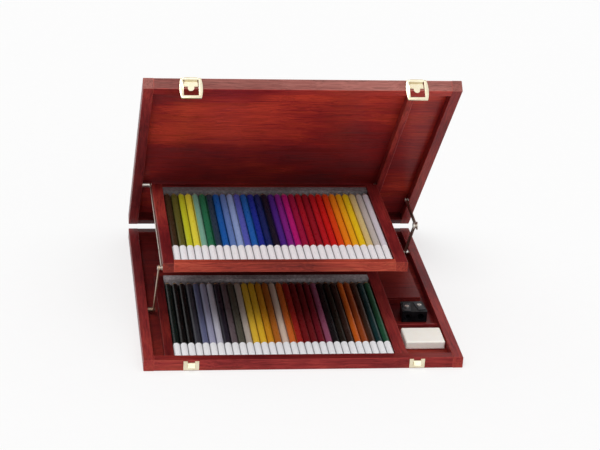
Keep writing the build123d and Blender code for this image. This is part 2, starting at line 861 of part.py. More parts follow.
stay_base_post = headed_pins([
    (
        into(base_frame, (inner_x + post_depth, *stay_base_spot), (-1, 0, 0)),
        (
            (pin_radius, post_depth),
            (spacer_radius, inner_x - lower_arm_outer_x - head_gap),
            (pin_radius, strip_thickness + 2 * head_gap),
            (pin_head_radius, pin_head_height),
        ),
    )
])
save(stay_base_post, "stay_base_post")
stay_lid_post = headed_pins([
    (
        into(lid_frame, (inner_x + post_depth, *stay_lid_spot), (-1, 0, 0)),
        (
            (pin_radius, post_depth),
            (spacer_radius, inner_x - upper_arm_outer_x - head_gap),
            (pin_radius, strip_thickness + 2 * head_gap),
            (pin_head_radius, pin_head_height),
        ),
    )
])
save(stay_lid_post, "stay_lid_post")

# ---- latches: bracket and swinging loop on the lid, strike plate on the base ----
barrel_y = -face_y - bracket_barrel_radius
barrel_z = bracket_top - bracket_barrel_radius
with BuildPart() as latch_brackets:
    for middle in (-latch_x, latch_x):
        with BuildSketch(facing_front(lid_frame, -face_y)):
            with Locations((middle, (bracket_foot + barrel_z) / 2)):
                Rectangle(bracket_width, barrel_z - bracket_foot)
            with Locations((middle, bracket_foot - (tongue_length - tongue_width / 2) / 2)):
                Rectangle(tongue_width, tongue_length - tongue_width / 2)
            with Locations((middle, bracket_foot - tongue_length + tongue_width / 2)):
                Circle(tongue_width / 2)
        extrude(amount=bracket_thickness)
        with BuildSketch(facing_right(lid_frame, middle - bracket_width / 2)):
            with Locations((-face_y - bracket_barrel_radius, barrel_z - bracket_barrel_radius)):
                Rectangle(2 * bracket_barrel_radius, 2 * bracket_barrel_radius)
        extrude(amount=(bracket_width - bracket_barrel_length) / 2, mode=Mode.SUBTRACT)
        with BuildSketch(facing_right(lid_frame, middle + bracket_barrel_length / 2)):
            with Locations((-face_y - bracket_barrel_radius, barrel_z - bracket_barrel_radius)):
                Rectangle(2 * bracket_barrel_radius, 2 * bracket_barrel_radius)
        extrude(amount=(bracket_width - bracket_barrel_length) / 2, mode=Mode.SUBTRACT)
        with BuildSketch(facing_right(lid_frame, middle - bracket_barrel_length / 2)):
            with Locations((barrel_y, barrel_z)):
                Circle(bracket_barrel_radius)
        extrude(amount=bracket_barrel_length)
        with BuildSketch(facing_right(lid_frame, middle - bracket_barrel_length / 2)):
            with Locations((barrel_y, barrel_z)):
                Circle(loop_bar_radius + running_gap)
        extrude(amount=bracket_barrel_length, mode=Mode.SUBTRACT)
    for place in bracket_nails:
        with BuildSketch(place):
            Circle(nail_radius + hole_slack)
        extrude(amount=bracket_thickness, mode=Mode.SUBTRACT)
save(latch_brackets, "latch_brackets")
latch_bracket_nails = nails(bracket_nails)
save(latch_bracket_nails, "latch_bracket_nails")

loop_back_y = barrel_y + loop_thickness / 2
loop_top_z = barrel_z + loop_bar_radius
loop_mid_z = (loop_top_z + loop_foot_z) / 2
for label, middle in (("left_latch_loop", -latch_x), ("right_latch_loop", latch_x)):
    with BuildPart() as loop:
        with BuildSketch(facing_front(lid_frame, loop_back_y)):
            with BuildLine():
                half_end = loop_end_width / 2
                half_mid = loop_width / 2
                Line((middle - half_end, loop_top_z), (middle + half_end, loop_top_z))
                ThreePointArc(
                    (middle + half_end, loop_top_z),
                    (middle + half_mid, loop_mid_z),
                    (middle + half_end, loop_foot_z),
                )
                Line((middle + half_end, loop_foot_z), (middle - half_end, loop_foot_z))
                ThreePointArc(
                    (middle - half_end, loop_foot_z),
                    (middle - half_mid, loop_mid_z),
                    (middle - half_end, loop_top_z),
                )
            make_face()
            window_foot = loop_foot_z + loop_foot_width
            with Locations((middle, (window_foot + loop_top_z) / 2)):
                Rectangle(loop_window_width, loop_top_z - window_foot, mode=Mode.SUBTRACT)
        extrude(amount=loop_thickness)
        with BuildSketch(facing_right(lid_frame, middle - loop_window_width / 2 - 1)):
            with Locations((barrel_y, barrel_z)):
                Circle(loop_bar_radius)
        extrude(amount=loop_window_width + 2)
    save(loop, label)

notch_foot = bracket_foot - tongue_length - notch_gap
hook_foot = window_foot + hook_gap
with BuildPart() as strike_plates:
    for middle in (-latch_x, latch_x):
        with BuildSketch(facing_front(base_frame, -face_y)):
            with Locations((middle, (strike_foot + strike_top) / 2)):
                Rectangle(strike_width, strike_top - strike_foot)
            with Locations((middle, (strike_top + notch_foot) / 2)):
                Rectangle(tongue_width + 2 * notch_gap, strike_top - notch_foot, mode=Mode.SUBTRACT)
        extrude(amount=bracket_thickness)
        with BuildSketch(facing_right(base_frame, middle - hook_width / 2)):
            with BuildLine():
                root_y = -face_y - bracket_thickness
                lip_y = root_y - hook_reach
                Polyline(
                    (root_y, hook_foot + hook_thickness + hook_ramp),
                    (lip_y, hook_foot + hook_thickness),
                    (lip_y, hook_foot),
                    (lip_y + hook_thickness, hook_foot),
                    (lip_y + hook_thickness, hook_foot + hook_thickness),
                    (root_y, hook_foot + hook_thickness),
                    close=True,
                )
            make_face()
        extrude(amount=hook_width)
    for place in strike_nails:
        with BuildSketch(place):
            Circle(nail_radius + hole_slack)
        extrude(amount=bracket_thickness, mode=Mode.SUBTRACT)
save(strike_plates, "strike_plates")
strike_plate_nails = nails(strike_nails)
save(strike_plate_nails, "strike_plate_nails")
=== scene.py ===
import bmesh
import bpy
import json
import math
import random
from mathutils import Euler, Matrix, Vector


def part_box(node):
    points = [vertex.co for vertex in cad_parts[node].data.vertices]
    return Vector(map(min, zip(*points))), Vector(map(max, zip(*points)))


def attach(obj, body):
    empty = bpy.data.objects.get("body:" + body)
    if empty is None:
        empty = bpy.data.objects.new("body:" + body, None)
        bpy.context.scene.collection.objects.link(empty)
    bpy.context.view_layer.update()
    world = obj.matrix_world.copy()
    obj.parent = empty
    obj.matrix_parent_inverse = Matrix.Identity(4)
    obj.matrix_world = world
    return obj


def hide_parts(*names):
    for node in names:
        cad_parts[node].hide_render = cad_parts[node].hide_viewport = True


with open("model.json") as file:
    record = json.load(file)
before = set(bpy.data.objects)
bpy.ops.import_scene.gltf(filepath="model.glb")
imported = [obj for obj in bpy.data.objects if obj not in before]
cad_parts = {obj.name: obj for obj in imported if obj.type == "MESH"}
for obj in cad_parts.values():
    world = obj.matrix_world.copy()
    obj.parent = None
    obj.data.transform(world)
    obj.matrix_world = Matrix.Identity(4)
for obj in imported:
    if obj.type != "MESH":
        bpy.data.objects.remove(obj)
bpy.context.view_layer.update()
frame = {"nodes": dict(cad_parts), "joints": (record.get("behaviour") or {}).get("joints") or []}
NODES = frame["nodes"]
JOINTS = {joint["name"]: joint for joint in frame["joints"]}

LID_OPEN = math.radians(-JOINTS["lid_hinge"]["range_deg"][0])
LEVEL = Matrix.Identity(3)
LID = Matrix.Rotation(LID_OPEN, 3, "X")      # row frame to the lid's own upright axes


# ---------------------------------------------------------------- node helpers
class Shader:
    """A material's node tree, with one Principled shader, built by short calls."""

    def __init__(self, name):
        self.mat = bpy.data.materials.new(name)
        self.mat.use_nodes = True
        self.tree = self.mat.node_tree
        self.tree.nodes.clear()
        out = self.tree.nodes.new("ShaderNodeOutputMaterial")
        self.bsdf = self.tree.nodes.new("ShaderNodeBsdfPrincipled")
        self.tree.links.new(self.bsdf.outputs["BSDF"], out.inputs["Surface"])

    def put(self, socket, value):
        if isinstance(value, bpy.types.NodeSocket):
            self.tree.links.new(value, socket)
        else:
            socket.default_value = value

    def add(self, kind, inputs=None, **attrs):
        node = self.tree.nodes.new("ShaderNode" + kind)
        for key, value in attrs.items():
            setattr(node, key, value)
        for key, value in (inputs or {}).items():
            self.put(node.inputs[key], value)
        return node

    def math(self, operation, a, b=0.0):
        return self.add("Math", {0: a, 1: b}, operation=operation).outputs[0]

    def plus(self, a, b):
        return self.math("ADD", a, b)

    def minus(self, a, b):
        return self.math("SUBTRACT", a, b)

    def times(self, a, b):
        return self.math("MULTIPLY", a, b)

    def total(self, *parts):
        """The sum of values, each given with its weight."""
        values = [self.times(value, weight) for value, weight in parts]
        result = values[0]
        for value in values[1:]:
            result = self.plus(result, value)
        return result

    def vector(self, operation, a, b=(0.0, 0.0, 0.0)):
        return self.add("VectorMath", {0: a, 1: b}, operation=operation).outputs[0]

    def ramp(self, fac, stops, interpolation="LINEAR"):
        node = self.add("ValToRGB", {"Fac": fac})
        ramp = node.color_ramp
        ramp.interpolation = interpolation
        while len(ramp.elements) < len(stops):
            ramp.elements.new(1.0)
        for element, (place, colour) in zip(ramp.elements, stops):
            element.position = place
            element.color = (*colour, 1.0)
        return node.outputs["Color"]

    def mix(self, fac, a, b, blend="MIX"):
        node = self.add("Mix", data_type="RGBA", blend_type=blend)
        self.put(node.inputs[0], fac)
        self.put(node.inputs[6], a if isinstance(a, bpy.types.NodeSocket) else (*a, 1.0))
        self.put(node.inputs[7], b if isinstance(b, bpy.types.NodeSocket) else (*b, 1.0))
        return node.outputs[2]

    def span(self, value, low, high, to_low=0.0, to_high=1.0, smooth=False):
        """value carried from low..high to to_low..to_high, and held at those ends."""
        kind = "SMOOTHSTEP" if smooth else "LINEAR"
        inputs = {0: value, 1: low, 2: high, 3: to_low, 4: to_high}
        return self.add("MapRange", inputs, interpolation_type=kind).outputs[0]

    def noise(self, vector, scale=1.0, detail=4.0, rough=0.55):
        node = self.add("TexNoise", {"Vector": vector, "Scale": scale, "Detail": detail,
                                     "Roughness": rough})
        return node.outputs["Fac"]

    def swing(self, noise, reach):
        """A noise carried to both sides of zero, over about reach in all."""
        return self.times(self.minus(noise, 0.5), reach)

    def cells(self, vector, scale):
        node = self.add("TexVoronoi", {"Vector": vector, "Scale": scale}, feature="F1")
        return node.outputs["Distance"]

    def stretched(self, vector, scale, shift=(0, 0, 0)):
        return self.add("Mapping", {"Vector": vector, "Scale": scale, "Location": shift}).outputs[0]

    def position(self):
        return self.add("TexCoord").outputs["Object"]

    def split(self, vector):
        return self.add("SeparateXYZ", {0: vector}).outputs

    def bump(self, height, strength, distance, onto=None):
        node = self.add("Bump", {"Height": height, "Strength": strength, "Distance": distance})
        if onto is not None:
            self.put(node.inputs["Normal"], onto)
        return node.outputs["Normal"]

    def finish(self, **values):
        for key, value in values.items():
            socket = self.bsdf.inputs[key.replace("_", " ")]
            if isinstance(value, tuple) and len(value) == 3 and socket.type == "RGBA":
                value = (*value, 1.0)
            self.put(socket, value)
        return self.mat


def local_box(obj, turn):
    """Middle and half sizes of a mesh along the axes that turn brings upright."""
    points = [turn @ v.co for v in obj.data.vertices]
    low = Vector([min(p[i] for p in points) for i in range(3)])
    high = Vector([max(p[i] for p in points) for i in range(3)])
    return (low + high) / 2, (high - low) / 2


def dress(name, material):
    """Gives a CAD node's object one material."""
    data = NODES[name].data
    data.materials.clear()
    data.materials.append(material)


# ---------------------------------------------------------------- stained and varnished wood
# How often each feature repeats in a metre, along the grain and across it.
DRIFT = (11, 17)
BLOTCHES = (7, 13)
BANDS = (7, 260)
FIBRES = (24, 800)
PORES = (36, 1700)
DRIFT_REACH = 0.016                          # how far the grain wanders off straight
BOARD_SHIFT = 9                              # sets each board's grain apart from the others'
EDGE_REACH = 0.0007                          # how far in from an edge the stain is worn, and painted lighter as a highlight
EDGE_RAGGED = 0.0016
FRONT_BEGINS, FRONT_FULL = 0.0004, 0.0002    # depths where a front face's painted lighter tones set in


def wood(name, obj, turn, grain, seed, deep, mid, bright, painted_light_band=None, front_lit_tones=None, rub=0.28):
    """Stained wood for one board, with its grain along the board, its edges worn and partly painted
    lighter as a highlight, and painted light on some faces.

    turn brings the board upright, and grain is the axis that its fibres then follow.
    A band of painted light along the grain is given as (place, reach, amount).
    The front tones are painted light on a front face, a painted sheen on the lid's rails; rub is how
    much the edges are lightened: worn, and where it is raised also a painted highlight.
    """
    s = Shader(name)
    middle, half = local_box(obj, turn)
    place = s.add("Mapping", {"Vector": s.position(), "Location": -middle,
                              "Rotation": turn.to_euler()}).outputs[0]
    rng = random.Random(seed)
    shift = Vector([rng.uniform(-BOARD_SHIFT, BOARD_SHIFT) for _ in range(3)])

    def grained(start, repeats):
        along, across = repeats
        return s.stretched(start, [along if axis == grain else across for axis in "XYZ"], shift)

    drift = s.swing(s.noise(grained(place, DRIFT), detail=2.0, rough=0.5), DRIFT_REACH)
    drift = s.add("CombineXYZ", {axis: drift for axis in "XYZ" if axis != grain}).outputs[0]
    wavy = s.vector("ADD", place, drift)

    blotches = s.noise(grained(place, BLOTCHES), detail=3.0, rough=0.5)
    bands = s.noise(grained(wavy, BANDS), detail=3.0, rough=0.55)
    fibres = s.noise(grained(wavy, FIBRES), detail=3.0, rough=0.6)
    pores = s.noise(grained(wavy, PORES), detail=2.0, rough=0.6)

    tone = s.total((blotches, 0.52), (bands, 0.28), (fibres, 0.20))
    # A band of painted light: the board is drawn lighter along the grain where light falls on it.
    if painted_light_band is not None:
        centre, reach, amount = painted_light_band
        across = s.split(place)["Y" if grain == "X" else "X"]
        away = s.math("ABSOLUTE", s.minus(across, centre))
        tone = s.plus(tone, s.span(away, 0.0, reach, amount, 0.0, smooth=True))
    tone = s.span(tone, 0.41, 0.61)
    colour = s.ramp(tone, ((0.0, deep), (0.5, mid), (1.0, bright)))
    # Front faces take lighter tones as painted light; on the lid's rails this is a painted sheen.
    if front_lit_tones is not None:
        front = s.span(s.split(place)["Y"], FRONT_BEGINS - half.y, FRONT_FULL - half.y)
        colour = s.mix(front, colour, s.ramp(tone, list(zip((0.0, 0.5, 1.0), front_lit_tones))))
    dark_bands = s.span(bands, 0.53, 0.63, 1.0, 0.68)
    dark_pores = s.span(pores, 0.36, 0.50, 0.62, 1.0)
    shade = s.times(dark_bands, dark_pores)
    shade = s.add("CombineColor", {0: shade, 1: shade, 2: shade}).outputs[0]
    colour = s.mix(1.0, colour, shade, "MULTIPLY")

    # Of the distances to the three pairs of faces, the middle one reaches the nearest edge.
    gap = s.split(s.vector("SUBTRACT", tuple(half), s.vector("ABSOLUTE", place)))
    small = s.math("MINIMUM", gap[0], gap[1])
    large = s.math("MAXIMUM", gap[0], gap[1])
    edge = s.math("MAXIMUM", small, s.math("MINIMUM", large, gap[2]))
    edge = s.plus(edge, s.swing(s.noise(place, 140.0, detail=4.0, rough=0.6), EDGE_RAGGED))
    # The edges are drawn lighter: worn stain, and where rub is raised, a painted highlight along the
    # edge.
    wear_and_highlight = s.span(edge, EDGE_REACH, 0.0, 0.0, rub, smooth=True)
    colour = s.mix(wear_and_highlight, colour, [min(1.0, c * 1.3 + 0.02) for c in bright])

    rough = s.plus(s.span(fibres, 0.3, 0.7, 0.30, 0.44), s.times(wear_and_highlight, 0.25))
    normal = s.bump(s.total((pores, 0.6), (fibres, 0.7)), strength=0.22, distance=0.0004)
    ripple = s.noise(place, 38.0, detail=3.0, rough=0.5)
    varnish = s.bump(ripple, strength=0.08, distance=0.0012)
    return s.finish(Base_Color=colour, Roughness=rough, Normal=normal, Specular_IOR_Level=0.07,
                    Coat_Weight=0.04, Coat_Roughness=0.16, Coat_Normal=varnish)


# Tones of the stain where it is deepest, in between, and lightest.
RAIL = ((0.125, 0.0100, 0.0125), (0.250, 0.0230, 0.0230), (0.400, 0.0520, 0.0370))
PANEL = ((0.168, 0.0240, 0.0270), (0.282, 0.0190, 0.0205), (0.570, 0.0540, 0.0300))
# A darker copy of the stain: painted shade for boards inside and at the back of the case.
INNER_SHADED = ((0.060, 0.0050, 0.0060), (0.130, 0.0110, 0.0110), (0.230, 0.0240, 0.0170))
RIM = ((0.150, 0.0100, 0.0120), (0.300, 0.0200, 0.0200), (0.480, 0.0480, 0.0340))
# A pinkish, greyer copy of the stain: a painted sheen on the lid rails' front faces, which face up
# when the lid is open.
LID_FRONT_SHEEN = ((0.190, 0.0520, 0.0460), (0.325, 0.1100, 0.0940), (0.445, 0.1680, 0.1420))
# A lighter copy of the stain: painted light on the tray's front rail and on the front faces of its
# side rails.
BRIGHT = ((0.140, 0.0190, 0.0165), (0.365, 0.0470, 0.0300), (0.600, 0.1150, 0.0640))
# Lit and shaded copies of one stain: painted shade on the base front rail's top, painted light on
# the base rails' front faces.
SILL_TOP_SHADED = ((0.095, 0.0080, 0.0095), (0.190, 0.0155, 0.0155), (0.310, 0.0370, 0.0270))
SILL_FRONT_LIT = ((0.150, 0.0130, 0.0150), (0.290, 0.0300, 0.0290), (0.460, 0.0660, 0.0480))
BOARDS = {
    "base_left_rail": (LEVEL, "Y", RAIL), "base_right_rail": (LEVEL, "Y", RAIL),
    "base_front_rail": (LEVEL, "X", SILL_TOP_SHADED), "base_rear_rail": (LEVEL, "X", INNER_SHADED),
    "base_bottom_panel": (LEVEL, "X", INNER_SHADED), "left_divider": (LEVEL, "Y", INNER_SHADED),
    "pencil_partition": (LEVEL, "Y", RAIL), "pencil_stop_rail": (LEVEL, "X", INNER_SHADED),
    "rear_deck": (LEVEL, "X", INNER_SHADED), "rear_deck_bearers": (LEVEL, "Y", INNER_SHADED),
    "accessory_divider": (LEVEL, "X", RAIL),
    "lid_left_rail": (LID, "Y", RAIL), "lid_right_rail": (LID, "Y", RAIL),
    "lid_front_rail": (LID, "X", RIM), "lid_rear_rail": (LID, "X", INNER_SHADED),
    "lid_panel": (LID, "X", PANEL), "lid_batten": (LID, "Y", RAIL),
    "tray_left_rail": (LEVEL, "Y", RAIL), "tray_right_rail": (LEVEL, "Y", RAIL),
    "tray_front_rail": (LEVEL, "X", BRIGHT), "tray_rear_rail": (LEVEL, "X", INNER_SHADED),
    "tray_floor": (LEVEL, "X", INNER_SHADED),
}
# Painted light on some boards: a lighter band on the two panels, lighter front faces with a painted
# sheen on the lid's rails, and edges rubbed lighter, partly as a painted highlight.
EXTRAS = {
    "lid_panel": {"painted_light_band": (-0.072, 0.072, 0.085)},
    "lid_front_rail": {"front_lit_tones": LID_FRONT_SHEEN, "rub": 0.45},
    "lid_left_rail": {"front_lit_tones": LID_FRONT_SHEEN},
    "lid_right_rail": {"front_lit_tones": LID_FRONT_SHEEN},
    "base_bottom_panel": {"painted_light_band": (-0.120, 0.090, 0.16)},
    "base_front_rail": {"front_lit_tones": SILL_FRONT_LIT, "rub": 0.42},
    "base_left_rail": {"front_lit_tones": SILL_FRONT_LIT},
    "base_right_rail": {"front_lit_tones": SILL_FRONT_LIT},
    "tray_left_rail": {"front_lit_tones": BRIGHT},
    "tray_right_rail": {"front_lit_tones": BRIGHT},
}
for seed, (name, (turn, grain, tones)) in enumerate(BOARDS.items()):
    dress(name, wood("wood_" + name, NODES[name], turn, grain, seed, *tones, **EXTRAS.get(name, {})))


# ---------------------------------------------------------------- metals
BRUSH_ALONG, BRUSH_ACROSS = 90, 4200         # brush lines in a metre
STAINS = 210.0
FLECKS = 900.0


def metal(name, colour, rough, grain, tarnish, turn=LEVEL):
    """Rolled or turned metal: fine brush lines, faint stains and a soft uneven surface."""
    s = Shader(name)
    place = s.add("Mapping", {"Vector": s.position(), "Rotation": turn.to_euler()}).outputs[0]
    size = [BRUSH_ALONG if axis == grain else BRUSH_ACROSS for axis in "XYZ"]
    brush = s.noise(s.stretched(place, size), detail=3.0, rough=0.6)
    stain = s.noise(place, STAINS, detail=5.0, rough=0.6)
    fleck = s.noise(place, FLECKS, detail=2.0, rough=0.5)
    tone = s.mix(s.span(stain, 0.42, 0.72, 0.0, 0.8), colour, tarnish)
    tone = s.mix(s.span(brush, 0.3, 0.7, 0.0, 0.25), tone, [c * 0.72 for c in colour])
    roughness = s.plus(s.span(stain, 0.3, 0.7, rough, rough + 0.14), s.times(fleck, 0.05))
    normal = s.bump(stain, strength=0.10, distance=0.0004)
    normal = s.bump(brush, strength=0.10, distance=0.00008, onto=normal)
    return s.finish(Base_Color=tone, Metallic=1.0, Roughness=roughness, Normal=normal)


BRASS = (0.87, 0.80, 0.60)
BRASS_STAIN = (0.66, 0.55, 0.36)
STEEL = (0.50, 0.44, 0.37)
TURNED_STEEL = (0.72, 0.70, 0.66)
# Darker copies of the steel: painted shade on the tray's rivets and front pin, which sit in shade.
SHADED_STEEL = (0.42, 0.36, 0.30)
# Bronze-tinted steel, also darkened as painted shade for the front link low in the case.
BRONZED_SHADED_STEEL = (0.46, 0.33, 0.22)
STEEL_STAIN = (0.30, 0.22, 0.15)
# A still darker copy of the steel, with its stain: painted shade on the link's post deep in the
# case.
DEEP_SHADED_STEEL = (0.20, 0.14, 0.10)
DEEP_SHADED_STAIN = (0.10, 0.07, 0.05)
BLADE = (0.055, 0.058, 0.065)
BLADE_STAIN = (0.025, 0.025, 0.030)
METALWORK = (
    (metal("brass_level", BRASS, 0.24, "X", BRASS_STAIN),
     ("base_hinge_leaves", "base_hinge_screws", "strike_plates", "strike_plate_nails")),
    (metal("brass_lid", BRASS, 0.22, "X", BRASS_STAIN, LID),
     ("lid_hinge_leaves", "lid_hinge_screws", "latch_brackets", "latch_bracket_nails",
      "left_latch_loop", "right_latch_loop")),
    (metal("steel_strip", STEEL, 0.30, "Y", STEEL_STAIN),
     ("stay_lower_arm", "stay_upper_arm", "tray_left_arm", "tray_right_arm")),
    # The front link: a bronze tint with painted shade.
    (metal("steel_bronzed_shaded", BRONZED_SHADED_STEEL, 0.32, "Y", STEEL_STAIN), ("front_link",)),
    # Painted shade: darker steel for the link's base post, and below for the tray's rivets and front
    # pin.
    (metal("steel_deep_shaded", DEEP_SHADED_STEEL, 0.36, "X", DEEP_SHADED_STAIN), ("link_base_post",)),
    (metal("steel_turned", TURNED_STEEL, 0.22, "X", STEEL_STAIN),
     ("hinge_pins", "stay_base_post", "stay_lid_post", "tray_pivot_posts", "stay_elbow_rivet",
      "sharpener_screws")),
    (metal("steel_shaded", SHADED_STEEL, 0.30, "X", STEEL_STAIN),
     ("tray_arm_rivets", "tray_front_pin")),
    (metal("blade_dark", BLADE, 0.34, "Y", BLADE_STAIN), ("sharpener_blades",)),
)
for material, names in METALWORK:
    for name in names:
        dress(name, material)


# ---------------------------------------------------------------- foam, eraser, sharpener
FOAM_TINT = (1.0, 0.90, 0.94)
# Painted shade in the foam's cell hollows.
FOAM_HOLLOW_SHADE = (0.25, 0.24, 0.26)
# One foam at two levels: painted light on the lower piece, painted shade on the tray's piece.
LOWER_FOAM_PAINTED_LIGHT = 0.44
TRAY_FOAM_PAINTED_SHADE = 0.22


def foam(name, level):
    """Grey open-cell foam, with painted shade in its cell hollows; level is how light it is painted,
    which differs between pieces as painted light and shade.
    """
    s = Shader(name)
    place = s.position()
    cells = s.cells(place, 1500.0)
    coarse = s.noise(place, 320.0, detail=4.0, rough=0.65)
    broad = s.noise(place, 30.0, detail=3.0, rough=0.5)
    shares = ((0.32, 0.50), (0.52, 1.0), (0.72, 1.9))
    stops = [(spot, [share * level * tint for tint in FOAM_TINT]) for spot, share in shares]
    tone = s.ramp(s.total((coarse, 0.6), (broad, 0.4)), stops)
    # The cell hollows are darkened as painted shade.
    tone = s.mix(s.span(cells, 0.0, 0.5, 0.45, 0.0), tone, [level * tint for tint in FOAM_HOLLOW_SHADE])
    normal = s.bump(coarse, strength=0.5, distance=0.0012)
    normal = s.bump(cells, strength=0.55, distance=0.0005, onto=normal)
    return s.finish(Base_Color=tone, Roughness=0.95, Normal=normal, Specular_IOR_Level=0.2)


def eraser_rubber():
    """White rubber with a little grime and dust from use."""
    s = Shader("eraser_rubber")
    place = s.position()
    grime = s.noise(place, 55.0, detail=6.0, rough=0.65)
    dust = s.noise(place, 700.0, detail=3.0, rough=0.6)
    tone = s.ramp(grime, ((0.38, (0.97, 0.94, 0.87)),
                          (0.66, (0.94, 0.90, 0.82)),
                          (0.80, (0.78, 0.73, 0.63))))
    tone = s.mix(s.span(dust, 0.66, 0.78, 0.0, 0.3), tone, (0.50, 0.47, 0.42))
    normal = s.bump(grime, strength=0.25, distance=0.0008)
    normal = s.bump(dust, strength=0.25, distance=0.0002, onto=normal)
    return s.finish(Base_Color=tone, Roughness=0.62, Normal=normal, Subsurface_Weight=0.08,
                    Subsurface_Radius=(0.004, 0.003, 0.002))


def black_plastic():
    """Moulded black plastic with a fine texture and rubbed patches."""
    s = Shader("black_plastic")
    place = s.position()
    texture = s.cells(place, 2200.0)
    rub = s.noise(place, 160.0, detail=5.0, rough=0.6)
    tone = s.ramp(rub, ((0.35, (0.003, 0.003, 0.004)),
                        (0.60, (0.006, 0.006, 0.007)),
                        (0.80, (0.020, 0.019, 0.018))))
    rough = s.span(rub, 0.3, 0.7, 0.26, 0.44)
    normal = s.bump(texture, strength=0.12, distance=0.0002)
    return s.finish(Base_Color=tone, Roughness=rough, Normal=normal, Specular_IOR_Level=0.10)


dress("lower_foam", foam("foam_lower_lit", LOWER_FOAM_PAINTED_LIGHT))
dress("tray_foam", foam("foam_tray_shaded", TRAY_FOAM_PAINTED_SHADE))
dress("eraser", eraser_rubber())
dress("sharpener_body", black_plastic())


# ---------------------------------------------------------------- pencils
UPPER_COATS = (
    (0.045, 0.026, 0.012), (0.110, 0.105, 0.020), (0.560, 0.600, 0.025), (0.820, 0.740, 0.060),
    (0.200, 0.440, 0.330), (0.020, 0.170, 0.080), (0.022, 0.045, 0.075), (0.010, 0.110, 0.420),
    (0.120, 0.220, 0.520), (0.280, 0.400, 0.700), (0.090, 0.110, 0.480), (0.014, 0.120, 0.440),
    (0.012, 0.030, 0.300), (0.010, 0.022, 0.120), (0.010, 0.010, 0.022), (0.070, 0.020, 0.230),
    (0.220, 0.018, 0.230), (0.460, 0.012, 0.170), (0.330, 0.010, 0.050), (0.380, 0.010, 0.022),
    (0.300, 0.010, 0.020), (0.480, 0.012, 0.018), (0.600, 0.014, 0.012), (0.740, 0.060, 0.010),
    (0.860, 0.240, 0.012), (0.880, 0.420, 0.014), (0.880, 0.600, 0.016), (0.700, 0.560, 0.240),
    (0.560, 0.520, 0.480), (0.720, 0.700, 0.760),
)
LOWER_COATS = (
    (0.006, 0.012, 0.010), (0.005, 0.005, 0.005), (0.005, 0.005, 0.005), (0.040, 0.040, 0.052),
    (0.120, 0.130, 0.240), (0.340, 0.340, 0.480), (0.540, 0.530, 0.610), (0.022, 0.018, 0.028),
    (0.130, 0.095, 0.105), (0.085, 0.080, 0.060), (0.500, 0.430, 0.370), (0.820, 0.520, 0.045),
    (0.800, 0.480, 0.030), (0.660, 0.290, 0.018), (0.460, 0.140, 0.020), (0.720, 0.560, 0.450),
    (0.640, 0.140, 0.024), (0.360, 0.020, 0.016), (0.180, 0.011, 0.013), (0.150, 0.010, 0.013),
    (0.160, 0.010, 0.018), (0.280, 0.075, 0.140), (0.010, 0.009, 0.010), (0.014, 0.011, 0.008),
    (0.034, 0.016, 0.012), (0.560, 0.110, 0.014), (0.300, 0.060, 0.014), (0.050, 0.022, 0.014),
    (0.009, 0.034, 0.036), (0.018, 0.085, 0.042),
)
WHITE_DIP = (0.91, 0.91, 0.93)
GREY_DIP = (0.78, 0.78, 0.82)
CEDAR = (0.46, 0.27, 0.14)
CHALK_DUST = (0.85, 0.83, 0.80)
UPPER_DIP_LENGTH = 0.0350
LOWER_DIP_LENGTH = 0.0295
CONE_LENGTH = 0.0100
DIP_LINE = 0.00015                           # half the width of the line where the dip ends
DIP_WANDER = 0.0006
CONE_LINE = 0.0002
CONE_SCALLOP = 0.0022
GROOVE = (0.39, 0.49)                        # from a pencil's middle, as a share of the pitch
# The colour that the painted shade in the grooves multiplies by.
GROOVE_SHADE = (0.20, 0.19, 0.20)
# How often each feature repeats in a metre, across, along and down through the barrels.
MOTTLES = (700, 90, 700)
SCUFFS = (1600, 260, 1600)
GRIME = (500, 120, 500)
WANDER = (900, 60, 900)
CEDAR_FIBRES = (2600, 160, 2600)


def row_layout(node, count):
    """Where a row's first pencil begins, and the distance from each pencil to the next."""
    low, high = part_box(node)
    thickness = high[2] - low[2]
    pitch = (high[0] - low[0] - thickness) / (count - 1)
    return low[0] + (thickness - pitch) / 2, pitch


def row_colour(s, x, coats, start, pitch):
    """One colour of paint for each pencil, picked by where it lies in the row."""
    place = s.math("DIVIDE", s.minus(x, start), pitch * len(coats))
    stops = [(index / len(coats), coat) for index, coat in enumerate(coats)]
    return s.ramp(place, stops, "CONSTANT")


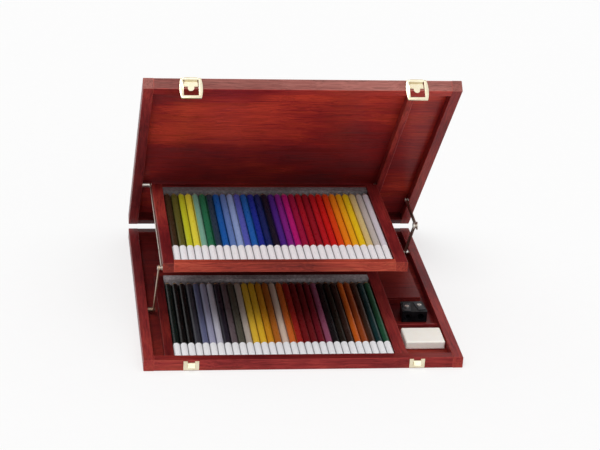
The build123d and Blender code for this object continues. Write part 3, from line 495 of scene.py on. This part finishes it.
def pencil_paint(name, coats, start, pitch, dip_y, cone_y):
    """Painted barrels with a white dipped end in front and a bare sharpened cone behind."""
    s = Shader(name)
    place = s.position()
    x, y = s.split(place)[:2]
    paint = row_colour(s, x, coats, start, pitch)
    mottled = s.noise(s.stretched(place, MOTTLES), detail=5.0, rough=0.6)
    duller = s.mix(1.0, paint, (0.55, 0.55, 0.55), "MULTIPLY")
    paint = s.mix(s.span(mottled, 0.45, 0.80, 0.0, 0.22), paint, duller)
    scuff = s.noise(s.stretched(place, SCUFFS), detail=3.0, rough=0.7)
    paint = s.mix(s.span(scuff, 0.66, 0.74, 0.0, 0.35), paint, s.mix(0.5, paint, CHALK_DUST))

    grime = s.noise(s.stretched(place, GRIME), detail=4.0, rough=0.6)
    dip = s.ramp(grime, ((0.55, WHITE_DIP), (0.85, GREY_DIP)))
    wander = s.noise(s.stretched(place, WANDER), detail=2.0, rough=0.5)
    line = s.plus(y, s.swing(wander, DIP_WANDER))
    dipped = s.span(line, dip_y + DIP_LINE, dip_y - DIP_LINE)

    fibres = s.noise(s.stretched(place, CEDAR_FIBRES), detail=4.0, rough=0.6)
    bare = s.ramp(fibres, ((0.3, [c * 0.62 for c in CEDAR]), (0.7, [c * 1.25 for c in CEDAR])))
    scallop = s.plus(y, s.swing(wander, CONE_SCALLOP))
    coned = s.span(scallop, cone_y - CONE_LINE, cone_y + CONE_LINE)
    colour = s.mix(coned, s.mix(dipped, paint, dip), bare)

    # Painted shade darkens the flanks of the pencils towards the grooves between them.
    turns = s.math("DIVIDE", s.minus(x, start), pitch)
    flank = s.math("ABSOLUTE", s.minus(s.math("FRACT", turns), 0.5))
    groove_shade_mask = s.span(flank, *GROOVE, 0.0, 0.75, smooth=True)
    colour = s.mix(groove_shade_mask, colour, s.mix(1.0, colour, GROOVE_SHADE, "MULTIPLY"))

    rough = s.plus(s.span(mottled, 0.3, 0.7, 0.24, 0.36), s.times(coned, 0.4))
    normal = s.bump(mottled, strength=0.12, distance=0.0003)
    normal = s.bump(dipped, strength=0.6, distance=0.0002, onto=normal)
    return s.finish(Base_Color=colour, Roughness=rough, Normal=normal, Specular_IOR_Level=0.12)


def pencil_core(name, coats, start, pitch):
    """Waxy colour cores, with a chalky bloom."""
    s = Shader(name)
    place = s.position()
    chalk = s.noise(place, 1800.0, detail=4.0, rough=0.6)
    tone = row_colour(s, s.split(place)["X"], coats, start, pitch)
    bloom = s.mix(0.25, tone, (0.5, 0.5, 0.5))
    tone = s.mix(s.span(chalk, 0.35, 0.75, 0.0, 0.5), tone, bloom)
    normal = s.bump(chalk, strength=0.3, distance=0.0003)
    return s.finish(Base_Color=tone, Roughness=0.8, Normal=normal)


ROWS = (("upper", UPPER_COATS, UPPER_DIP_LENGTH), ("lower", LOWER_COATS, LOWER_DIP_LENGTH))
for row, coats, dip_length in ROWS:
    barrels, cores = f"{row}_pencils", f"{row}_pencil_cores"
    layout = row_layout(barrels, len(coats))
    blunt_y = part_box(barrels)[0][1]
    point_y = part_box(cores)[1][1]
    dress(barrels, pencil_paint(f"paint_{row}", coats, *layout,
                                dip_y=blunt_y + dip_length, cone_y=point_y - CONE_LENGTH))
    dress(cores, pencil_core(f"core_{row}", coats, *layout))


# ---------------------------------------------------------------- latch loops
LOOP_ROUND = 0.00055
ROUND_STEPS = 3
SHARP_ANGLE = math.radians(40)               # edges sharper than this are rounded
FLAT_ANGLE = math.radians(1.0)               # faces flatter than this are joined
SAME_POINT = 0.000005


def rounded_loop(side):
    """A copy of a latch loop with its sharp edges rounded, shown in the node's place."""
    node = f"{side}_latch_loop"
    obj = NODES[node].copy()
    obj.data = NODES[node].data.copy()
    obj.name = obj.data.name = f"loop_{side}"
    bpy.context.collection.objects.link(obj)
    mesh = bmesh.new()
    mesh.from_mesh(obj.data)
    bmesh.ops.remove_doubles(mesh, verts=mesh.verts, dist=SAME_POINT)
    bmesh.ops.dissolve_limit(mesh, angle_limit=FLAT_ANGLE, verts=mesh.verts, edges=mesh.edges)
    mesh.to_mesh(obj.data)
    mesh.free()
    for polygon in obj.data.polygons:
        polygon.use_smooth = True
    soften = obj.modifiers.new("soften", "BEVEL")
    soften.width = LOOP_ROUND
    soften.segments = ROUND_STEPS
    soften.limit_method = "ANGLE"
    soften.angle_limit = SHARP_ANGLE
    soften.harden_normals = True
    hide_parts(node)
    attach(obj, f"{side}_loop")


for side in ("left", "right"):
    rounded_loop(side)


# ---------------------------------------------------------------- floor and world
FLOOR_REACH = 30.0
FLOOR_DROP = 0.0002                          # keeps the floor clear of the underside
PALER = 0.6                                  # how far the seen floor is lifted towards white
WORLD_LEVELS = ((0.0, 0.42), (0.35, 0.45), (0.75, 1.0))     # how light, from level to overhead
WORLD_STRENGTH = 0.72


def seen(tree):
    """1 for rays that show the background, in the view, in metal or through glass; 0 for light."""
    rays = tree.nodes.new("ShaderNodeLightPath").outputs
    level = rays["Is Camera Ray"]
    for kind in ("Is Glossy Ray", "Is Transmission Ray"):
        node = tree.nodes.new("ShaderNodeMath")
        node.operation = "MAXIMUM"
        tree.links.new(level, node.inputs[0])
        tree.links.new(rays[kind], node.inputs[1])
        level = node.outputs[0]
    return level


def floor():
    """A pale paper floor, which keeps the object's shadow."""
    s = Shader("floor_paper")
    speck = s.noise(s.position(), 60.0, detail=3.0, rough=0.5)
    tone = s.ramp(speck, ((0.3, (0.965, 0.965, 0.965)), (0.7, (0.975, 0.975, 0.975))))
    s.finish(Base_Color=tone, Roughness=0.9, Specular_IOR_Level=0.0)
    paper = s.add("MixShader", {0: s.times(seen(s.tree), PALER), 1: s.bsdf.outputs[0],
                                2: s.add("Emission").outputs[0]})
    s.tree.links.new(paper.outputs[0], s.tree.nodes["Material Output"].inputs["Surface"])
    mesh = bpy.data.meshes.new("floor")
    signs = ((-1, -1), (1, -1), (1, 1), (-1, 1))
    corners = [(x * FLOOR_REACH, y * FLOOR_REACH, -FLOOR_DROP) for x, y in signs]
    mesh.from_pydata(corners, [], [(0, 1, 2, 3)])
    mesh.materials.append(s.mat)
    obj = bpy.data.objects.new("floor", mesh)
    bpy.context.collection.objects.link(obj)


def sky():
    """Soft light from above, and plain white where the world itself is seen."""
    world = bpy.data.worlds.new("studio")
    bpy.context.scene.world = world
    world.use_nodes = True
    tree = world.node_tree
    tree.nodes.clear()
    out = tree.nodes.new("ShaderNodeOutputWorld")
    back = tree.nodes.new("ShaderNodeBackground")
    coord = tree.nodes.new("ShaderNodeTexCoord")
    split = tree.nodes.new("ShaderNodeSeparateXYZ")
    ramp = tree.nodes.new("ShaderNodeValToRGB")
    ramp.color_ramp.elements.new(0.5)
    for element, (height, level) in zip(ramp.color_ramp.elements, WORLD_LEVELS):
        element.position = height
        element.color = (level, level, level, 1.0)
    tree.links.new(coord.outputs["Generated"], split.inputs[0])
    tree.links.new(split.outputs["Z"], ramp.inputs["Fac"])
    tree.links.new(ramp.outputs["Color"], back.inputs["Color"])
    back.inputs["Strength"].default_value = WORLD_STRENGTH
    white = tree.nodes.new("ShaderNodeBackground")
    white.inputs["Color"].default_value = (1.0, 1.0, 1.0, 1.0)
    mix = tree.nodes.new("ShaderNodeMixShader")
    tree.links.new(seen(tree), mix.inputs[0])
    tree.links.new(back.outputs[0], mix.inputs[1])
    tree.links.new(white.outputs[0], mix.inputs[2])
    tree.links.new(mix.outputs[0], out.inputs["Surface"])


floor()
sky()


# ---------------------------------------------------------------- lamps and camera
def sun(name, azimuth, height, strength, softness):
    """A sun lamp; azimuth, height and softness, which is how wide it looks, are in degrees."""
    data = bpy.data.lights.new(name, "SUN")
    data.energy = strength
    data.angle = math.radians(softness)
    obj = bpy.data.objects.new(name, data)
    obj.rotation_euler = Euler((math.radians(90 - height), 0, math.radians(azimuth)))
    bpy.context.collection.objects.link(obj)


sun("key", azimuth=-28, height=58, strength=1.15, softness=26)
sun("fill", azimuth=35, height=28, strength=0.45, softness=60)

CAMERA_YAW = math.radians(8.8)
CAMERA_ELEVATION = math.radians(24.4)
CAMERA_ROLL = math.radians(3.6)
CAMERA_TARGET = Vector((0.024, 0.089, 0.047))
CAMERA_DISTANCE = 2.153
FOCAL_PIXELS = 1938.0
FRAME_WIDTH_PIXELS = 600.0
SENSOR_WIDTH = 36.0
CLIP_NEAR, CLIP_FAR = 0.05, 60.0


def camera():
    """The photograph's viewpoint."""
    level = math.cos(CAMERA_ELEVATION)
    ahead = Vector((math.sin(CAMERA_YAW) * level, math.cos(CAMERA_YAW) * level,
                    -math.sin(CAMERA_ELEVATION)))
    right = Vector((math.cos(CAMERA_YAW), -math.sin(CAMERA_YAW), 0.0))
    up = right.cross(ahead)
    turned_right = math.cos(CAMERA_ROLL) * right + math.sin(CAMERA_ROLL) * up
    turned_up = -math.sin(CAMERA_ROLL) * right + math.cos(CAMERA_ROLL) * up
    data = bpy.data.cameras.new("camera")
    data.sensor_width = SENSOR_WIDTH
    data.lens = FOCAL_PIXELS * SENSOR_WIDTH / FRAME_WIDTH_PIXELS
    data.clip_start, data.clip_end = CLIP_NEAR, CLIP_FAR
    obj = bpy.data.objects.new("camera", data)
    axes = Matrix((turned_right, turned_up, -ahead)).transposed()
    obj.matrix_world = Matrix.Translation(CAMERA_TARGET - ahead * CAMERA_DISTANCE) @ axes.to_4x4()
    bpy.context.collection.objects.link(obj)
    bpy.context.scene.camera = obj


camera()
bpy.context.scene.view_settings.view_transform = "Standard"
